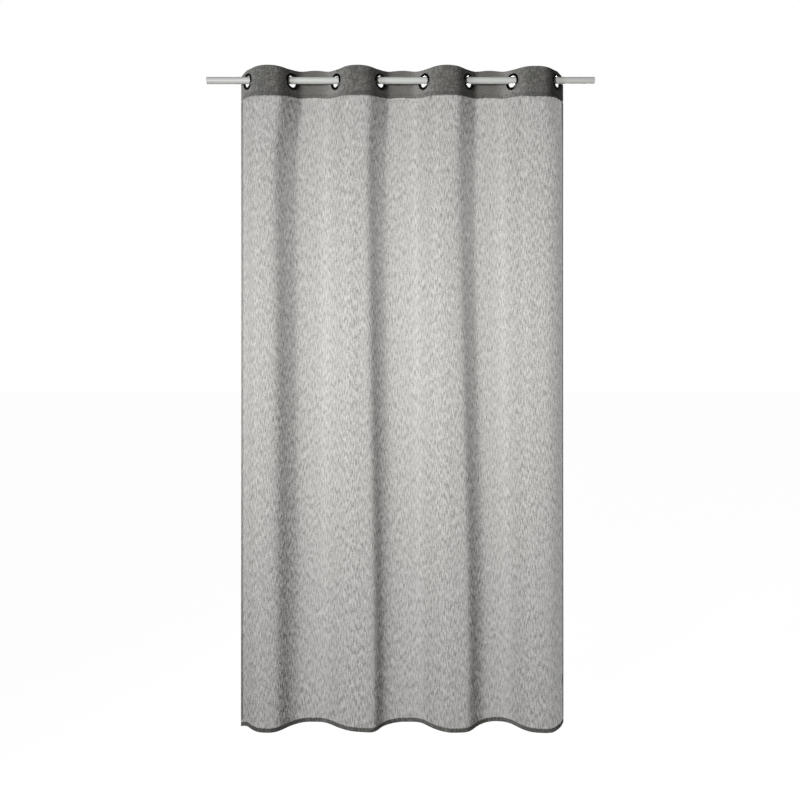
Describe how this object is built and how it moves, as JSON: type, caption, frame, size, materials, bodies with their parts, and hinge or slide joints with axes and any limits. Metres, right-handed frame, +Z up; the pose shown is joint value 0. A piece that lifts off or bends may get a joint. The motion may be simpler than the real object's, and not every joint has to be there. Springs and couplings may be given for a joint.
{
  "type": "eyelet curtain panel",
  "caption": "Semi-sheer fabric room curtain panel in soft folds, with metal eyelets in a stiffened heading, threaded on a straight rod that it draws along.",
  "frame": {"origin": "middle of the rod's axis", "axes": "+X along the rod to the right as seen from the room, -Y towards the room, +Z up"},
  "size_m": [1.416, 0.0824, 2.4],
  "materials": {
    "rod_lacquer": "pale grey satin lacquer on steel tube",
    "voile_cloth": "semi-sheer dark grey heathered linen-look voile; single cloth lets light through, folded cloth looks dark",
    "stiffener_tape": "stiff woven heading tape, hidden between the heading layers",
    "label_satin": "blank white satin care label",
    "eyelet_metal": "glossy black nickel plated steel"
  },
  "bodies": {
    "rod": {"rod_tube": "rod_lacquer", "rod_plug_left": "rod_lacquer", "rod_plug_right": "rod_lacquer"},
    "trailing_edge": {"main_cloth": "voile_cloth", "heading_turnover": "voile_cloth", "heading_seam_allowance": "voile_cloth", "bottom_hem": "voile_cloth", "side_hem_left": "voile_cloth", "side_hem_right": "voile_cloth", "heading_stiffener_tape": "stiffener_tape", "care_label": "label_satin", "eyelet_8_front_ring": "eyelet_metal", "eyelet_8_back_ring": "eyelet_metal"},
    "eyelet_7": {"eyelet_7_front_ring": "eyelet_metal", "eyelet_7_back_ring": "eyelet_metal"},
    "eyelet_6": {"eyelet_6_front_ring": "eyelet_metal", "eyelet_6_back_ring": "eyelet_metal"},
    "eyelet_5": {"eyelet_5_front_ring": "eyelet_metal", "eyelet_5_back_ring": "eyelet_metal"},
    "eyelet_4": {"eyelet_4_front_ring": "eyelet_metal", "eyelet_4_back_ring": "eyelet_metal"},
    "eyelet_3": {"eyelet_3_front_ring": "eyelet_metal", "eyelet_3_back_ring": "eyelet_metal"},
    "eyelet_2": {"eyelet_2_front_ring": "eyelet_metal", "eyelet_2_back_ring": "eyelet_metal"},
    "eyelet_1": {"eyelet_1_front_ring": "eyelet_metal", "eyelet_1_back_ring": "eyelet_metal"}
  },
  "joints": [
    {"name": "panel_slide", "type": "slide", "parent": "rod", "child": "trailing_edge", "axis": [1, 0, 0], "range_m": [-0.1, 0.1]},
    {"name": "eyelet_7_draw", "type": "slide", "parent": "trailing_edge", "child": "eyelet_7", "axis": [1, 0, 0], "range_m": [0, 0.085], "deforming": ["main_cloth", "heading_turnover", "heading_seam_allowance", "bottom_hem", "side_hem_left", "side_hem_right", "heading_stiffener_tape", "care_label"]},
    {"name": "eyelet_6_draw", "type": "slide", "parent": "eyelet_7", "child": "eyelet_6", "axis": [1, 0, 0], "range_m": [0, 0.085]},
    {"name": "eyelet_5_draw", "type": "slide", "parent": "eyelet_6", "child": "eyelet_5", "axis": [1, 0, 0], "range_m": [0, 0.085]},
    {"name": "eyelet_4_draw", "type": "slide", "parent": "eyelet_5", "child": "eyelet_4", "axis": [1, 0, 0], "range_m": [0, 0.085]},
    {"name": "eyelet_3_draw", "type": "slide", "parent": "eyelet_4", "child": "eyelet_3", "axis": [1, 0, 0], "range_m": [0, 0.085]},
    {"name": "eyelet_2_draw", "type": "slide", "parent": "eyelet_3", "child": "eyelet_2", "axis": [1, 0, 0], "range_m": [0, 0.085]},
    {"name": "eyelet_1_draw", "type": "slide", "parent": "eyelet_2", "child": "eyelet_1", "axis": [1, 0, 0], "range_m": [0, 0.085]}
  ],
  "couplings": [
    {"joint": "eyelet_6_draw", "follows": "eyelet_7_draw", "ratio": 1},
    {"joint": "eyelet_5_draw", "follows": "eyelet_7_draw", "ratio": 1},
    {"joint": "eyelet_4_draw", "follows": "eyelet_7_draw", "ratio": 1},
    {"joint": "eyelet_3_draw", "follows": "eyelet_7_draw", "ratio": 1},
    {"joint": "eyelet_2_draw", "follows": "eyelet_7_draw", "ratio": 1},
    {"joint": "eyelet_1_draw", "follows": "eyelet_7_draw", "ratio": 1}
  ]
}
